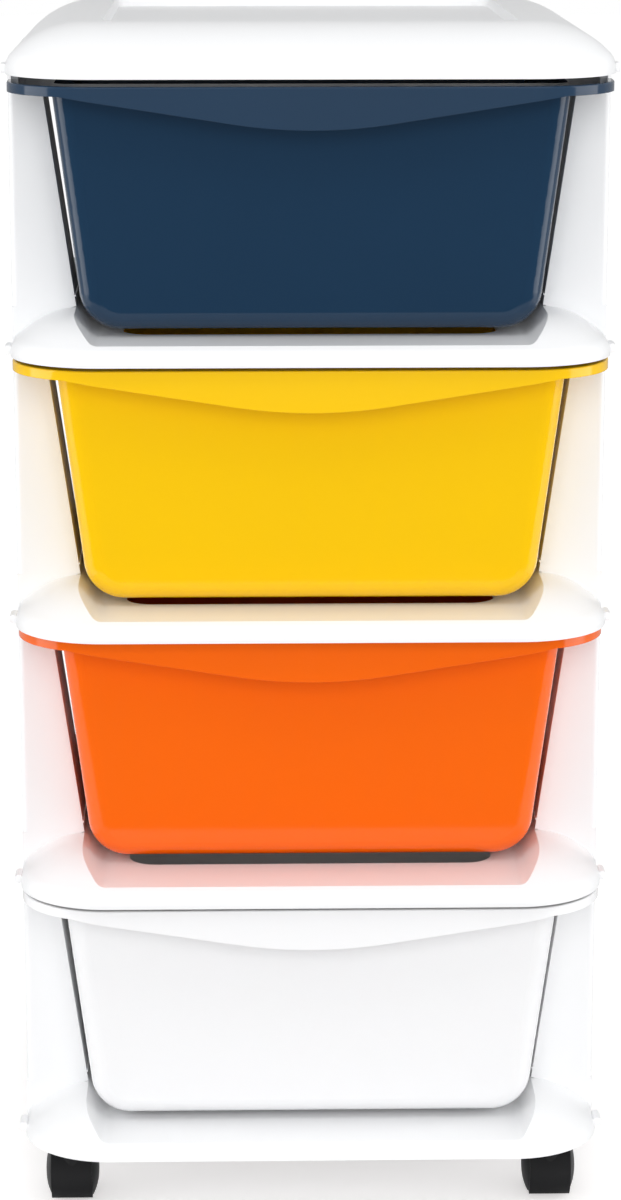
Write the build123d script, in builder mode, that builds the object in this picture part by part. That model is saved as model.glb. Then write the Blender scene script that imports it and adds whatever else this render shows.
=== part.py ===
from build123d import *
import math
import os

# Plastic drawer tower: four drawers between moulded shelves and side panels, on four casters.
# +Z is up, +X is right, the drawer fronts face -Y, the floor is z = 0. Millimetres.

# Body
body_width = 392.0
body_depth = 380.0
plan_radius = 60.0
level_pitch = 180.0
drawer_count = 4
floor_clearance = 46.0
wall = 2.5

# Shelves, base and lid: pillow forms with a sloped and rounded shoulder
pedestal_proud = 0.5
shelf_height = 27.0
shelf_slope_run = 26.0
shelf_slope_drop = 19.5
shelf_crown_radius = 56.0
shelf_skirt_radius = 12.0
lid_height = 33.0
lid_slope_run = 25.0
lid_slope_drop = 24.0
lid_crown_radius = 66.0
lid_skirt_radius = 15.0
lid_lift = 1.6
base_skirt_lift = 2.7
seat_rise = 0.4
seat_width = 40.5
bead_radius = 3.0
bead_reach = 4.0
bead_length = 15.0
bead_spacing = 248.0

# Trough in each shelf, under the drawer's bottom
tray_rise = 13.0
trough_margin = 42.4
trough_slant = 12.6
trough_corner = 9.0
trough_length = 352.0
cutout_width = 245.0
cutout_front = 57.0
cutout_length = 240.0
cutout_radius = 18.0

# Recess in the lid's top
recess_width = 266.0
recess_front = 52.0
recess_length = 276.0
recess_radius = 14.0
recess_depth = 6.0

# Side panels
panel_front = 87.0
panel_depth = 251.0
panel_corner = 4.0
return_lip_depth = 54.0
ledge_margin = 22.2
foot_width = 18.0
lip_rib_rise = 6.5
lip_rib_reach = 0.8
lip_rib_thickness = 1.0
tongue_height = 4.0
tongue_gap = 1.9
rear_bead = 5.0
peg_radius = 4.0
peg_length = 9.0
peg_clearance = 0.2
peg_spacing = 160.0

# Drawers
rim_gap = 3.0
rim_height = 6.5
running_gap = 0.3
rim_edge = 1.2
bezel_margin = 1.5
bezel_front = 2.0
bezel_radius = 57.0
bezel_length = 68.0
rim_margin = 8.5
rim_rear_space = 22.0
rim_rear_radius = 24.0
tub_wall = 2.2
tub_side_gap = 8.2
tub_front = 25.0
tub_rear_space = 35.0
tub_edge_radius = 13.0
tub_height = 159.3
tub_side_draft = 18.8
tub_front_draft = 17.0
tub_rear_draft = 12.0
tub_corner_radius = 27.0
handle_half_width = 160.0
handle_slope = 0.155
handle_arc_half_width = 50.0
drawer_names = ("drawer_blue", "drawer_yellow", "drawer_orange", "drawer_white")
drawer_setbacks = (0.0, 4.5, 14.0, 3.0)

# Casters
caster_margin = 32.0
caster_inset = 52.0
caster_trail = 13.0
wheel_radius = 19.0
wheel_inner = 4.5
wheel_tread = 9.5
wheel_dome = 4.0
wheel_edge = 1.2
axle_radius = 2.0
web_half_width = 4.0
web_radius = 16.0
boss_radius = 7.0
shaft_clearance = 0.05
hood_gap = 1.0
hood_wall = 2.0
hood_half_width = 14.0
hood_front_angle = -50.0
hood_rear_angle = 115.0
stem_radius = 4.0
stem_reach = 17.0
stem_seat = 9.0
collar_radius = 7.0
collar_height = 2.0
socket_radius = 10.0

front_y = -body_depth / 2
base_z = floor_clearance
lid_z = base_z + drawer_count * level_pitch + lid_lift
pillow_width = body_width - 2 * pedestal_proud
seat_inner = body_width / 2 - seat_width
trough_half_width = body_width / 2 - trough_margin
tray_half_width = trough_half_width - trough_slant
ledge_half_width = body_width / 2 - ledge_margin
bezel_half_width = body_width / 2 - bezel_margin
rim_half_width = body_width / 2 - rim_margin
rim_length = body_depth - bezel_front - rim_rear_space
tub_half_width = ledge_half_width - tub_side_gap
tub_length = body_depth - tub_front - tub_rear_space
caster_x = body_width / 2 - caster_margin
panel_mid_y = front_y + panel_front + panel_depth / 2
axle_z = wheel_radius
socket_depth = stem_reach + 1.0


def skirt_z(level):
    """Height of the skirt's lower edge at a shelf: level 0 is the base, drawer_count the top."""
    return base_z + level * level_pitch


def pillow(z, inset, height, run, drop, crown_radius, skirt_radius):
    """Closed pillow form: upright skirt, sloped shoulder with rounded edges and a flat top."""
    pitch = math.hypot(1 / run, 1 / drop)
    inner_run = run * (1 + inset * pitch - inset / drop) - inset
    inner_drop = drop * (1 + inset * pitch - inset / run) - inset
    with BuildPart() as form:
        with BuildSketch(Plane.XY.offset(z)):
            RectangleRounded(pillow_width - 2 * inset, body_depth - 2 * inset, plan_radius - inset)
        extrude(amount=height - inset)
        top = form.faces().sort_by(Axis.Z)[-1]
        chamfer(top.edges(), length=inner_run, length2=inner_drop, reference=top)
        crown = form.faces().sort_by(Axis.Z)[-1].edges()
        fillet(crown, radius=crown_radius - inset)
        crease_z = z + height - inset - inner_drop
        creases = form.edges().filter_by_position(Axis.Z, crease_z - 0.01, crease_z + 0.01)
        fillet(creases, radius=skirt_radius - inset)
    return form.part


def shelf_pillow(z, inset):
    """Pillow form of a shelf, or of its hollow inside when inset by the wall."""
    return pillow(z, inset, shelf_height, shelf_slope_run, shelf_slope_drop,
                  shelf_crown_radius, shelf_skirt_radius)


def lid_pillow(z, inset):
    """Pillow form of the lid, or of its hollow inside when inset by the wall."""
    return pillow(z, inset, lid_height, lid_slope_run, lid_slope_drop,
                  lid_crown_radius, lid_skirt_radius)


def pedestals(z, inset):
    """Seats at both sides of a shelf, flush with the side panels that stand on them."""
    width = body_width / 2 - seat_inner - 2 * inset
    middle = (body_width / 2 + seat_inner) / 2
    with BuildPart() as blocks:
        with BuildSketch(Plane.XY.offset(z)):
            with Locations((middle, panel_mid_y), (-middle, panel_mid_y)):
                Rectangle(width, panel_depth - 2 * inset)
        extrude(amount=shelf_height + seat_rise - inset)
    return blocks.part


def trough(z, growth):
    """Space of the trough that runs back from the front edge under the drawer."""
    slope = (trough_half_width - tray_half_width) / (shelf_height - tray_rise)
    lift = shelf_height - tray_rise + 10.0
    low = tray_half_width + growth
    with BuildPart() as space:
        with BuildSketch(Plane.XZ.offset(-front_y + 10.0)):
            with BuildLine():
                Polyline((-low, z + tray_rise - growth), (low, z + tray_rise - growth),
                         (low + slope * lift, z + tray_rise + lift),
                         (-low - slope * lift, z + tray_rise + lift), close=True)
            make_face()
        extrude(amount=-(trough_length + growth + 10.0))
        floor = space.faces().sort_by(Axis.Z)[0]
        fillet(floor.edges().filter_by(Axis.Y), radius=trough_corner)
    return space.part


def beads(z):
    """Short half-round beads on the lower edge of both skirts' sides, near the front and the rear."""
    x = body_width / 2 + bead_reach - bead_radius
    with BuildPart() as bars:
        for middle in (-bead_spacing / 2, bead_spacing / 2):
            with BuildSketch(Plane.XZ.offset(bead_length / 2 - middle)):
                with Locations((x, z + bead_radius), (-x, z + bead_radius)):
                    Circle(bead_radius)
            extrude(amount=-bead_length)
    return bars.part


def shelf(z, label, cut_out):
    """Moulded shelf, open below, with pedestals, trough and holes for the panels' pegs.

    A shelf has a cut-out in its trough. The base has none, and sockets for the casters instead,
    which reach a little below its shorter skirt.
    """
    with BuildPart() as cavity:
        add(shelf_pillow(z, wall))
        add(pedestals(z, wall))
        add(trough(z, wall), mode=Mode.SUBTRACT)
        if not cut_out:
            with BuildSketch(Plane.XY.offset(z)):
                with Locations(*caster_places()):
                    Circle(socket_radius)
            extrude(amount=shelf_height, mode=Mode.SUBTRACT)
    with BuildPart() as body:
        add(shelf_pillow(z, 0.0))
        add(pedestals(z, 0.0))
        add(trough(z, 0.0), mode=Mode.SUBTRACT)
        add(cavity.part, mode=Mode.SUBTRACT)
        if not cut_out:
            with BuildSketch(Plane.XY.offset(z)):
                Rectangle(body_width, body_depth)
                with Locations(*caster_places()):
                    Circle(socket_radius, mode=Mode.SUBTRACT)
            extrude(amount=base_skirt_lift, mode=Mode.SUBTRACT)
        add(beads(z if cut_out else z + base_skirt_lift))
        with BuildSketch(Plane.XY.offset(z + shelf_height + seat_rise)):
            with Locations(*peg_places()):
                Circle(peg_radius + peg_clearance)
        extrude(amount=-2 * wall, mode=Mode.SUBTRACT)
        if cut_out:
            with BuildSketch(Plane.XY.offset(z + tray_rise + 1.0)):
                with Locations((0, front_y + cutout_front + cutout_length / 2)):
                    RectangleRounded(cutout_width, cutout_length, cutout_radius)
            extrude(amount=-(wall + 2.0), mode=Mode.SUBTRACT)
        else:
            with BuildSketch(Plane.XY.offset(z)):
                with Locations(*caster_places()):
                    Circle(stem_radius + shaft_clearance)
            extrude(amount=socket_depth, mode=Mode.SUBTRACT)
    body.part.label = label
    return body.part


def peg_places():
    """Plan positions of the pegs under the side panels' feet, both sides."""
    x = body_width / 2 - foot_width / 2
    return [(side * x, panel_mid_y + shift)
            for side in (-1, 1) for shift in (-peg_spacing / 2, peg_spacing / 2)]


def caster_places():
    """Plan positions of the four stems."""
    y = body_depth / 2 - caster_inset
    return [(-caster_x, -y), (caster_x, -y), (-caster_x, y), (caster_x, y)]


# Lid: pillow with a shallow recess in its top, open below
with BuildPart() as lid_cavity:
    add(lid_pillow(lid_z, wall))
    with BuildSketch(Plane.XY.offset(lid_z + lid_height)):
        with Locations((0, front_y + recess_front + recess_length / 2)):
            RectangleRounded(recess_width + 2 * wall, recess_length + 2 * wall, recess_radius + wall)
    extrude(amount=-(recess_depth + wall), mode=Mode.SUBTRACT)

with BuildPart() as lid:
    add(lid_pillow(lid_z, 0.0))
    with BuildSketch(Plane.XY.offset(lid_z + lid_height)):
        with Locations((0, front_y + recess_front + recess_length / 2)):
            RectangleRounded(recess_width, recess_length, recess_radius)
    extrude(amount=-recess_depth, taper=20, mode=Mode.SUBTRACT)
    add(lid_cavity.part, mode=Mode.SUBTRACT)
    add(beads(lid_z))
lid.part.label = "lid"

def side_panel(level, side, label):
    """Side panel: outer wall, slanted front flange with return lip, ledge, foot, pegs and tongue."""
    z = skirt_z(level)
    foot_z = z + shelf_height + seat_rise
    top_z = lid_z if level == drawer_count - 1 else z + level_pitch
    ledge_z = z + level_pitch - rim_gap - rim_height - running_gap
    outer = body_width / 2
    inner = outer - wall
    y0 = front_y + panel_front
    y1 = y0 + panel_depth
    tongue_x = inner - tongue_gap
    rib_z = foot_z + lip_rib_rise
    rib_slant = (ledge_half_width - trough_half_width) * lip_rib_rise / (ledge_z - foot_z)
    rib_x = trough_half_width + rib_slant - lip_rib_reach

    with BuildPart() as lip_space:
        with BuildSketch(Plane.XZ.offset(-y0 - wall)):
            with BuildLine():
                Polyline((trough_half_width + wall, foot_z), (ledge_half_width + wall, ledge_z),
                         (inner, ledge_z), (inner, foot_z), close=True)
            make_face()
        extrude(amount=-return_lip_depth)

    with BuildPart() as panel:
        # flange with its return lip: the slanted shape, hollowed from behind
        with BuildSketch(Plane.XZ.offset(-y0)):
            with BuildLine():
                Polyline((trough_half_width, foot_z), (ledge_half_width, ledge_z),
                         (outer, ledge_z), (outer, foot_z), close=True)
            make_face()
        extrude(amount=-return_lip_depth)
        add(lip_space.part, mode=Mode.SUBTRACT)
        # rib across the return lip, just above the foot
        with BuildSketch(Plane.XY.offset(rib_z)):
            with Locations((rib_x + (lip_rib_reach + wall) / 2, y0 + return_lip_depth / 2)):
                Rectangle(lip_rib_reach + wall, return_lip_depth)
        extrude(amount=lip_rib_thickness)
        # outer wall
        with BuildSketch(Plane.XY.offset(foot_z)):
            with Locations((outer - wall / 2, (y0 + y1) / 2)):
                Rectangle(wall, panel_depth)
        extrude(amount=top_z - foot_z)
        front_corner = panel.edges().filter_by(Axis.Z).sort_by(Axis.Y)
        fillet([e for e in front_corner if abs(e.center().X - outer) < 0.01
                and abs(e.center().Y - y0) < 0.01], radius=panel_corner)
        # ledge that carries the drawer's rim
        with BuildSketch(Plane.XY.offset(ledge_z)):
            with Locations(((ledge_half_width + inner) / 2, (y0 + y1) / 2)):
                Rectangle(inner - ledge_half_width, panel_depth)
        extrude(amount=-wall)
        # foot
        with BuildSketch(Plane.XY.offset(foot_z)):
            with Locations((outer - foot_width / 2, (y0 + y1 + wall) / 2)):
                Rectangle(foot_width, panel_depth - wall)
        extrude(amount=wall)
        # tongue inside the skirt above
        with BuildSketch(Plane.XY.offset(top_z - wall - tongue_height)):
            with Locations(((tongue_x - wall + inner) / 2, panel_mid_y)):
                Rectangle(inner - tongue_x + wall, panel_depth - 4 * wall)
        extrude(amount=wall + tongue_height)
        with BuildSketch(Plane.XY.offset(top_z)):
            with Locations((tongue_x - wall / 2, panel_mid_y)):
                Rectangle(wall, panel_depth - 4 * wall)
        extrude(amount=tongue_height)
        # rear edge
        with BuildSketch(Plane.XY.offset(foot_z)):
            with Locations((outer - rear_bead / 2, y1 - rear_bead / 2)):
                Rectangle(rear_bead, rear_bead)
        extrude(amount=ledge_z - foot_z)
        # pegs
        with BuildSketch(Plane.XY.offset(foot_z)):
            with Locations(*[place for place in peg_places() if place[0] > 0]):
                Circle(peg_radius)
        extrude(amount=-peg_length)
        if side < 0:
            mirror(about=Plane.YZ, mode=Mode.REPLACE)
    panel.part.label = label
    return panel.part


def tub(z_top, setback, inset, overshoot):
    """Tapered tub of a drawer: large lower corners, and a smaller radius round both end faces."""
    y_front = front_y + tub_front + setback
    with BuildPart() as form:
        for depth in (-overshoot, tub_height - inset):
            share = depth / tub_height
            half_width = tub_half_width - inset - tub_side_draft * share
            y_low = y_front + inset + tub_front_draft * share
            y_high = y_front + tub_length - inset - tub_rear_draft * share
            with BuildSketch(Plane.XY.offset(z_top - depth)):
                with Locations((0, (y_low + y_high) / 2)):
                    Rectangle(2 * half_width, y_high - y_low)
        loft(ruled=True)
        bottom = form.faces().sort_by(Axis.Z)[0]
        fillet(bottom.edges().filter_by(Axis.Y), radius=tub_corner_radius - inset)
        for end in (0, -1):
            face = form.faces().sort_by(Axis.Y)[end]
            outline = [e for e in face.edges() if e.center().Z < z_top + overshoot - 1.0]
            fillet(outline, radius=tub_edge_radius - inset)
    return form.part


def rim_block(z_low, z_high, setback, inset):
    """Solid of the rim's outline: wide bezel in front, narrower runners behind."""
    y0 = front_y + bezel_front + setback
    with BuildPart() as block:
        with BuildSketch(Plane.XY.offset(z_low)) as outline:
            with Locations((0, y0 + bezel_length / 2)):
                Rectangle(2 * (bezel_half_width - inset), bezel_length - 2 * inset)
            fillet(outline.vertices().group_by(Axis.Y)[0], radius=bezel_radius - inset)
            with Locations((0, y0 + inset + bezel_radius + (rim_length - bezel_radius - 2 * inset) / 2)):
                Rectangle(2 * (rim_half_width - inset), rim_length - bezel_radius - 2 * inset)
            fillet(outline.vertices().group_by(Axis.Y)[-1], radius=rim_rear_radius - inset)
        extrude(amount=z_high - z_low)
    return block.part


def drawer(level, label, setback):
    """Drawer: tub, flat rim with a turned-down edge and a curved pull along the front."""
    z_top = skirt_z(level + 1) - rim_gap
    z_rim = z_top - rim_height
    rise = handle_slope * (handle_half_width - handle_arc_half_width)
    arc_sag = handle_arc_half_width * math.tan(math.atan(handle_slope) / 2)
    z_arc = z_rim - rise
    y0 = front_y + bezel_front + setback

    with BuildPart() as pull:
        add(rim_block(z_arc - arc_sag, z_rim + 1.0, setback, 0.0))
        add(rim_block(z_arc - arc_sag, z_rim + 1.0, setback, wall), mode=Mode.SUBTRACT)
        with BuildSketch(Plane.XZ.offset(-y0)) as apron:
            with BuildLine():
                arc = ThreePointArc((-handle_arc_half_width, z_arc), (0, z_arc - arc_sag),
                                    (handle_arc_half_width, z_arc))
                Polyline(arc @ 1, (handle_half_width, z_rim), (handle_half_width, z_rim + 1.0),
                         (-handle_half_width, z_rim + 1.0), (-handle_half_width, z_rim), arc @ 0)
            make_face()
        extrude(amount=-bezel_radius, mode=Mode.INTERSECT)

    with BuildPart() as body:
        add(rim_block(z_rim, z_top, setback, 0.0))
        fillet(body.faces().sort_by(Axis.Z)[-1].edges(), radius=rim_edge)
        add(rim_block(z_rim, z_top - wall, setback, wall), mode=Mode.SUBTRACT)
        add(pull.part)
        add(tub(z_top, setback, 0.0, 0.0))
        add(tub(z_top, setback, tub_wall, 5.0), mode=Mode.SUBTRACT)
    body.part.label = label
    return body.part


def caster(place, label):
    """Twin-wheel caster: housing with hood, stem with collar, axle and two wheels."""
    stem_x, stem_y = place
    axle_y = stem_y + caster_trail
    across = Plane(origin=(stem_x, axle_y, axle_z), x_dir=(0, 1, 0), z_dir=(1, 0, 0))
    hood_inner = wheel_radius + hood_gap
    hood_outer = hood_inner + hood_wall
    collar_z = floor_clearance - collar_height

    with BuildPart() as housing:
        # stem boss, cleared where the wheels turn
        with BuildSketch(Plane.XY.offset(collar_z)):
            with Locations((stem_x, stem_y)):
                Circle(boss_radius)
        extrude(amount=axle_z - collar_z)
        for side in (-1, 1):
            with BuildSketch(across.offset(side * web_half_width)):
                Circle(hood_inner)
            extrude(amount=side * hood_half_width, mode=Mode.SUBTRACT)
        # hood over both wheels
        with BuildSketch(across.offset(-hood_half_width)):
            with BuildLine():
                start = 180 - hood_rear_angle
                sweep_angle = hood_rear_angle - hood_front_angle
                outer_arc = CenterArc((0, 0), hood_outer, start, sweep_angle)
                inner_arc = CenterArc((0, 0), hood_inner, start, sweep_angle)
                Line(outer_arc @ 0, inner_arc @ 0)
                Line(outer_arc @ 1, inner_arc @ 1)
            make_face()
        extrude(amount=2 * hood_half_width)
        # web between the wheels
        with BuildSketch(across.offset(-web_half_width)):
            with BuildLine():
                web_arc = CenterArc((0, 0), hood_inner + hood_wall / 2, start, sweep_angle)
                Line(web_arc @ 1, web_arc @ 0)
            make_face()
            Circle(web_radius)
        extrude(amount=2 * web_half_width)
        with BuildSketch(across.offset(-web_half_width - 1.0)):
            Circle(axle_radius + shaft_clearance)
        extrude(amount=2 * web_half_width + 2.0, mode=Mode.SUBTRACT)
        with BuildSketch(Plane.XY.offset(collar_z)):
            with Locations((stem_x, stem_y)):
                Circle(stem_radius + shaft_clearance)
        extrude(amount=-stem_seat, mode=Mode.SUBTRACT)
    housing.part.label = label + "_housing"

    with BuildPart() as stem:
        with BuildSketch(Plane.XY.offset(collar_z - stem_seat)):
            with Locations((stem_x, stem_y)):
                Circle(stem_radius)
        extrude(amount=stem_seat + collar_height + stem_reach)
        with BuildSketch(Plane.XY.offset(collar_z)):
            with Locations((stem_x, stem_y)):
                Circle(collar_radius)
        extrude(amount=collar_height)
        chamfer(stem.edges().sort_by(Axis.Z)[-1], length=1.0)
    stem.part.label = label + "_stem"

    axle_half = wheel_inner + wheel_tread
    with BuildPart() as axle:
        with BuildSketch(across.offset(-axle_half)):
            Circle(axle_radius)
        extrude(amount=2 * axle_half)
    axle.part.label = label + "_axle"

    wheels = []
    for side, name in ((-1, "_wheel_left"), (1, "_wheel_right")):
        bore = axle_radius + shaft_clearance
        hub_face = wheel_inner + wheel_tread + wheel_dome
        edge_x = wheel_inner + wheel_tread
        with BuildPart() as wheel:
            with BuildSketch(Plane.XY.offset(axle_z)):
                with BuildLine():
                    x0, y0 = stem_x, axle_y
                    Polyline((x0 + side * wheel_inner, y0), (x0 + side * wheel_inner, y0 + wheel_radius),
                             (x0 + side * edge_x, y0 + wheel_radius))
                    ThreePointArc((x0 + side * edge_x, y0 + wheel_radius),
                                  (x0 + side * (edge_x + 0.72 * wheel_dome), y0 + 0.62 * wheel_radius),
                                  (x0 + side * hub_face, y0))
                    Line((x0 + side * hub_face, y0), (x0 + side * wheel_inner, y0))
                make_face()
            revolve(axis=Axis((x0, y0, axle_z), (1, 0, 0)), revolution_arc=360)
            with BuildSketch(across.offset(side * wheel_inner)):
                Circle(bore)
            extrude(amount=side * (wheel_tread + 0.5), mode=Mode.SUBTRACT)
            tread = wheel.edges().filter_by(GeomType.CIRCLE)
            rims = [e for e in tread if abs(e.radius - wheel_radius) < 0.01]
            fillet(rims, radius=wheel_edge)
        wheel.part.label = label + name
        wheels.append(wheel.part)
    return [housing.part, stem.part, axle.part] + wheels


pieces = [lid.part, shelf(base_z, "base", False)]
for number in range(1, drawer_count):
    pieces.append(shelf(skirt_z(drawer_count - number), f"shelf_{number}", True))
for number in range(1, drawer_count + 1):
    level = drawer_count - number
    pieces.append(side_panel(level, -1, f"side_panel_left_{number}"))
    pieces.append(side_panel(level, 1, f"side_panel_right_{number}"))
    pieces.append(drawer(level, drawer_names[number - 1], drawer_setbacks[number - 1]))
for place, corner in zip(caster_places(), ("front_left", "front_right", "rear_left", "rear_right")):
    pieces += caster(place, "caster_" + corner)

os.makedirs("parts", exist_ok=True)
for piece in pieces:
    export_step(piece, f"parts/{piece.label}.step")
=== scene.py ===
import math
import bpy
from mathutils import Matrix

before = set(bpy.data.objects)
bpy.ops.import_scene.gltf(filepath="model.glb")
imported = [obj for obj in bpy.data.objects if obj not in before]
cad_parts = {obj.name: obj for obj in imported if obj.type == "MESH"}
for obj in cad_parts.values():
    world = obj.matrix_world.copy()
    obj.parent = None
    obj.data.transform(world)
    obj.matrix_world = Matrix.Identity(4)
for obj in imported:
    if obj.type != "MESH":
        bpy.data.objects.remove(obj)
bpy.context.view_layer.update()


# Body: the lid, three shelves, the base and eight side panels, all of white polypropylene.
# Each is one injection moulding with a smooth skin of low gloss. A panel stands on the moulding
# below, with pegs in its deck, and holds the skirt above by a tongue. Nothing is screwed.

class Wire:
    """A socket of a node tree. Arithmetic on it adds Math nodes."""

    def __init__(self, tree, socket):
        self.tree = tree
        self.socket = socket

    @staticmethod
    def node(tree, kind, settings, inputs, output=0):
        """Any other node: its settings first, then the values or wires of its sockets."""
        made = tree.nodes.new(kind)
        for name, value in settings.items():
            setattr(made, name, value)
        for name, value in inputs.items():
            if isinstance(value, Wire):
                tree.links.new(value.socket, made.inputs[name])
            else:
                made.inputs[name].default_value = value
        return Wire(tree, made.outputs[output])

    def maths(self, operation, first, second):
        return Wire.node(self.tree, "ShaderNodeMath", {"operation": operation}, {0: first, 1: second})

    def __add__(self, other):
        return self.maths("ADD", self, other)

    def __radd__(self, other):
        return self.maths("ADD", other, self)

    def __sub__(self, other):
        return self.maths("SUBTRACT", self, other)

    def __rsub__(self, other):
        return self.maths("SUBTRACT", other, self)

    def __mul__(self, other):
        return self.maths("MULTIPLY", self, other)

    def __rmul__(self, other):
        return self.maths("MULTIPLY", other, self)

    def blend(self, at_zero, at_one):
        """The colour that this wire picks between two colours."""
        colour_a, colour_b, colour_out = 6, 7, 2
        return Wire.node(self.tree, "ShaderNodeMix", {"data_type": "RGBA"},
                         {"Factor": self, colour_a: at_zero, colour_b: at_one}, colour_out)

    def feed(self, shader, socket_name):
        """Link this wire to a shader's socket."""
        self.tree.links.new(self.socket, shader.inputs[socket_name])


def blank_finish(name):
    """A new material and its plain shader."""
    material = bpy.data.materials.new(name)
    material.use_nodes = True
    return material, material.node_tree, material.node_tree.nodes["Principled BSDF"]


def moulded_plastic(name, colour, roughness, mottle, edge=0.0, glow=0.0, shine=0.5):
    """Moulded plastic with flow marks, fine streaks up the walls and long shallow sink waves.

    mottle is how much deeper the flow marks are than the colour, edge the radius of the softened
    edges in metres, glow the share of light that scatters inside, and shine the specular level.
    """
    material, tree, shader = blank_finish(name)
    place = Wire.node(tree, "ShaderNodeTexCoord", {}, {}, "Object")
    drawn_out = (1.0, 1.0, 0.22)
    tall = Wire.node(tree, "ShaderNodeVectorMath", {"operation": "MULTIPLY"}, {0: place, 1: drawn_out})
    flow = Wire.node(tree, "ShaderNodeTexNoise", {},
                     {"Vector": place, "Scale": 9.0, "Detail": 3.0, "Roughness": 0.5})
    grain = Wire.node(tree, "ShaderNodeTexNoise", {}, {"Vector": place, "Scale": 420.0, "Detail": 2.0})
    wave = Wire.node(tree, "ShaderNodeTexNoise", {}, {"Vector": tall, "Scale": 16.0, "Detail": 1.0})
    streak = Wire.node(tree, "ShaderNodeTexNoise", {}, {"Vector": tall, "Scale": 130.0, "Detail": 2.0})

    deeper = [part * (1 - mottle) for part in colour]
    flow.blend([*colour, 1.0], [*deeper, 1.0]).feed(shader, "Base Color")
    skin = roughness + 0.03 * (grain - 0.5) + 0.06 * (flow - 0.5) + 0.06 * (streak - 0.5)
    skin.feed(shader, "Roughness")
    soft_edge = Wire.node(tree, "ShaderNodeBevel", {"samples": 4}, {"Radius": edge})
    sink = Wire.node(tree, "ShaderNodeBump", {},
                     {"Height": wave, "Strength": 0.10, "Distance": 0.001, "Normal": soft_edge})
    sink.feed(shader, "Normal")

    shader.inputs["IOR"].default_value = 1.49
    shader.inputs["Specular IOR Level"].default_value = shine
    shader.inputs["Subsurface Weight"].default_value = glow
    shader.inputs["Subsurface Radius"].default_value = (1.0, 0.93, 0.88)
    shader.inputs["Subsurface Scale"].default_value = 0.012
    return material


def dress(node_name, material):
    """Give a piece its finish."""
    for slot in bpy.data.objects[node_name].material_slots:
        slot.material = material


body_white = moulded_plastic("white_body_plastic", colour=(0.90, 0.905, 0.915), roughness=0.36,
                             mottle=0.012, glow=0.08)
dress("lid", body_white)
dress("base", body_white)
for shelf in (1, 2, 3):
    dress(f"shelf_{shelf}", body_white)
for level in (1, 2, 3, 4):
    dress(f"side_panel_left_{level}", body_white)
    dress(f"side_panel_right_{level}", body_white)


# Drawers: four one-piece tubs with a wide rim and a curved pull, coloured right through.
# They are moulded of the same plastic as the body, with a glossier skin, and slide by their
# rims on the ledges of the side panels.

drawer_roughness = 0.12
drawer_edge = 0.0006

drawer_blue = moulded_plastic("drawer_blue_plastic", colour=(0.0105, 0.037, 0.080),
                              roughness=drawer_roughness, mottle=0.10, edge=drawer_edge)
drawer_yellow = moulded_plastic("drawer_yellow_plastic", colour=(0.94, 0.565, 0.001),
                                roughness=drawer_roughness, mottle=0.04, edge=drawer_edge)
drawer_orange = moulded_plastic("drawer_orange_plastic", colour=(0.96, 0.14, 0.002),
                                roughness=drawer_roughness, mottle=0.05, edge=drawer_edge)
drawer_white = moulded_plastic("drawer_white_plastic", colour=(0.925, 0.925, 0.935),
                               roughness=drawer_roughness, mottle=0.01, glow=0.15)
dress("drawer_blue", drawer_blue)
dress("drawer_yellow", drawer_yellow)
dress("drawer_orange", drawer_orange)
dress("drawer_white", drawer_white)


# Casters: a black nylon hood with twin wheels, and a stem and an axle of zinc-plated steel.
# The stem turns in a socket under the base, and the wheels turn on the axle. The wheels are a
# little smoother than the hood.

nylon_black = (0.008, 0.008, 0.009)
nylon_mottle = 0.25
nylon_edge = 0.0004
nylon_shine = 0.3

caster_black = moulded_plastic("caster_black_nylon", colour=nylon_black, roughness=0.40,
                               mottle=nylon_mottle, edge=nylon_edge, shine=nylon_shine)
wheel_black = moulded_plastic("wheel_black_nylon", colour=nylon_black, roughness=0.38,
                              mottle=nylon_mottle, edge=nylon_edge, shine=nylon_shine)


def plated_steel(name):
    """Zinc-plated steel: fine turning marks in the roughness, and grey patches of plating."""
    material, tree, shader = blank_finish(name)
    place = Wire.node(tree, "ShaderNodeTexCoord", {}, {}, "Object")
    marks = Wire.node(tree, "ShaderNodeTexNoise", {}, {"Vector": place, "Scale": 900.0, "Detail": 2.0})
    patches = Wire.node(tree, "ShaderNodeTexNoise", {}, {"Vector": place, "Scale": 60.0, "Detail": 3.0})
    bright_zinc = (0.62, 0.63, 0.65, 1.0)
    dull_zinc = (0.50, 0.50, 0.50, 1.0)
    patches.blend(bright_zinc, dull_zinc).feed(shader, "Base Color")
    turned = 0.28 + 0.16 * marks
    turned.feed(shader, "Roughness")
    shader.inputs["Metallic"].default_value = 1.0
    return material


steel = plated_steel("zinc_plated_steel")
for corner in ("front_left", "front_right", "rear_left", "rear_right"):
    dress(f"caster_{corner}_housing", caster_black)
    dress(f"caster_{corner}_stem", steel)
    dress(f"caster_{corner}_axle", steel)
    dress(f"caster_{corner}_wheel_left", wheel_black)
    dress(f"caster_{corner}_wheel_right", wheel_black)


# Floor: a plain pale sheet that begins just in front of the tower and runs far back behind it.
# It takes the tower's shadow. To the camera it also glows, and that glow is dimmer close to the
# tower, a painted shade around its foot.

floor_size = 14
floor_centre = (0, 6.45, 0)
near_distance, far_distance = 0.25, 0.9
# The lower glow close to the tower is painted shade, darker than the far floor's glow.
painted_shade_glow = (0.46, 0.445, 0.44, 1.0)
far_tone = (0.62, 0.62, 0.62, 1.0)
no_glow = (0.0, 0.0, 0.0, 1.0)

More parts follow.
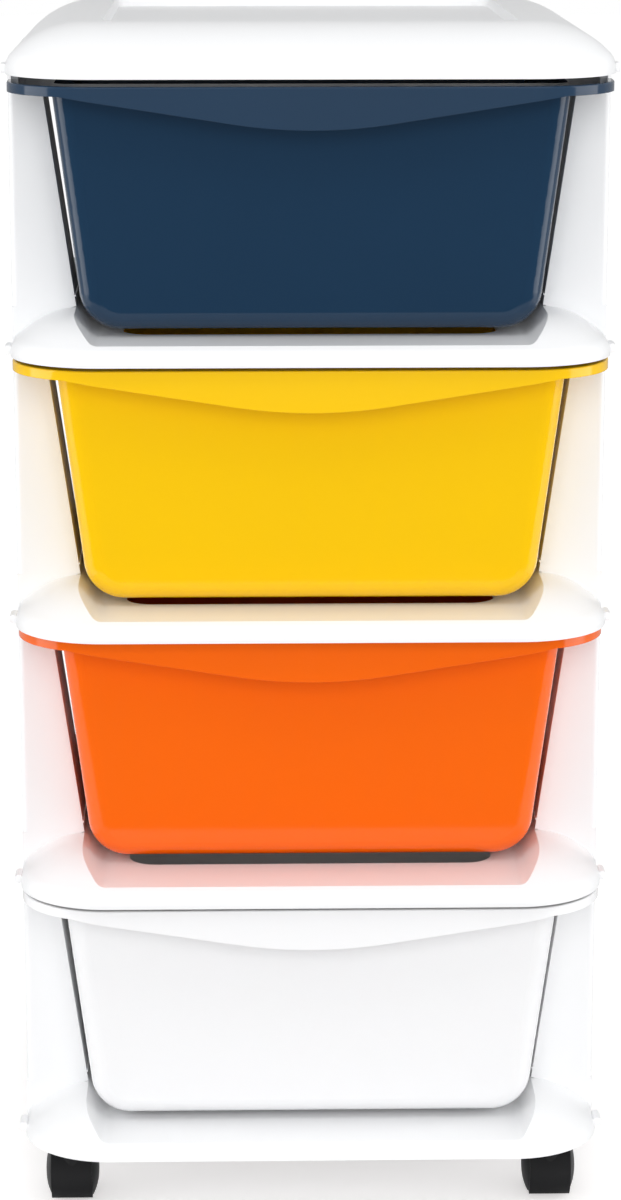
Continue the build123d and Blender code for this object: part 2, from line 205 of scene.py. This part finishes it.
bpy.ops.object.select_all(action="DESELECT")
bpy.ops.mesh.primitive_plane_add(size=floor_size, location=floor_centre)
floor = bpy.context.object
floor.name = "studio_floor"
floor_white, floor_tree, floor_shader = blank_finish("studio_white")
floor_shader.inputs["Base Color"].default_value = (0.80, 0.80, 0.80, 1)
floor_shader.inputs["Roughness"].default_value = 0.9
floor_seen = Wire.node(floor_tree, "ShaderNodeLightPath", {}, {}, "Is Camera Ray")
floor_place = Wire.node(floor_tree, "ShaderNodeTexCoord", {}, {}, "Object")
from_tower = Wire.node(floor_tree, "ShaderNodeVectorMath", {"operation": "ADD"},
                       {0: floor_place, 1: floor_centre})
distance = Wire.node(floor_tree, "ShaderNodeVectorMath", {"operation": "LENGTH"}, {0: from_tower}, "Value")
# Painted shade: the glow fades from the far tone down to the near tone close to the tower.
painted_shade_falloff = Wire.node(floor_tree, "ShaderNodeMapRange", {"interpolation_type": "SMOOTHSTEP"},
                  {"Value": distance, "From Min": near_distance, "From Max": far_distance})
floor_tone = painted_shade_falloff.blend(painted_shade_glow, far_tone)
floor_seen.blend(no_glow, floor_tone).feed(floor_shader, "Emission Color")
floor_shader.inputs["Emission Strength"].default_value = 1.0
floor.data.materials.append(floor_white)


# Sky: white where the camera sees it, and an even light of a plain level on the tower.
# What the glossy plastic mirrors of it is about as bright as that light above the horizon, and
# much darker below, past the front edge of the floor.

seen_level = 1.0
room_level = 0.52
mirrored_low, mirrored_high = 0.10, 0.50
dark_below, bright_above = -0.28, -0.02

world = bpy.data.worlds.new("studio")
bpy.context.scene.world = world
world.use_nodes = True
sky = world.node_tree
background = sky.nodes["Background"]
sky_seen = Wire.node(sky, "ShaderNodeLightPath", {}, {}, "Is Camera Ray")
sky_mirrored = Wire.node(sky, "ShaderNodeLightPath", {}, {}, "Is Glossy Ray")
sky_way = Wire.node(sky, "ShaderNodeTexCoord", {}, {}, "Generated")
sky_height = Wire.node(sky, "ShaderNodeSeparateXYZ", {}, {"Vector": sky_way}, "Z")
mirrored = Wire.node(sky, "ShaderNodeMapRange", {"interpolation_type": "SMOOTHSTEP"},
                     {"Value": sky_height, "From Min": dark_below, "From Max": bright_above,
                      "To Min": mirrored_low, "To Max": mirrored_high})
strength = room_level + (seen_level - room_level) * sky_seen + (mirrored - room_level) * sky_mirrored
strength.feed(background, "Strength")
background.inputs["Color"].default_value = (1, 1, 1, 1)


# Lamps: a tall soft box at each side, a broad one above and a wide fill far in front.
# The fill evens out the drawers' fronts and isn't mirrored in their gloss. Powers are in watts
# and sizes in metres.

def soft_box(name, place, aim, width, height, power):
    """A lamp with a rectangular face, turned so that it shines from its place to its aim."""
    lamp = bpy.data.lights.new(name, "AREA")
    lamp.shape = "RECTANGLE"
    lamp.size = width
    lamp.size_y = height
    lamp.energy = power
    holder = bpy.data.objects.new(name, lamp)
    bpy.context.scene.collection.objects.link(holder)
    holder.location = place
    away = [place[i] - aim[i] for i in range(3)]
    flat = math.hypot(away[0], away[1])
    holder.rotation_euler = (math.atan2(flat, away[2]), 0, math.atan2(away[0], -away[1]))
    return holder


for side, x in (("left", -1.6), ("right", 1.6)):
    soft_box(f"soft_box_{side}", place=(x, -0.35, 0.7), aim=(0, -0.2, 0.4),
             width=1.05, height=1.7, power=10.5)
soft_box("soft_box_top", place=(0, -0.9, 2.3), aim=(0, 0, 0.3), width=1.8, height=1.2, power=8.5)
front_fill = soft_box("front_fill", place=(0, -3.4, 1.3), aim=(0, 0, 0.4), width=2.4, height=2.2, power=55)
front_fill.visible_glossy = False


# Camera: 2.15 m in front of the drawers, 13 cm above the lid and a little to the left.
# It looks down by 13 degrees and slightly to the right, through a long lens.

camera_dip = 0.2282
camera_swing = -0.02177

camera_data = bpy.data.cameras.new("camera")
camera_data.lens = 102.6
camera_data.sensor_width = 36
camera = bpy.data.objects.new("camera", camera_data)
bpy.context.scene.collection.objects.link(camera)
camera.location = (-0.0483, -2.3384, 0.9338)
camera.rotation_euler = (math.pi / 2 - camera_dip, 0, camera_swing)
bpy.context.scene.camera = camera
bpy.context.scene.view_settings.view_transform = "Standard"
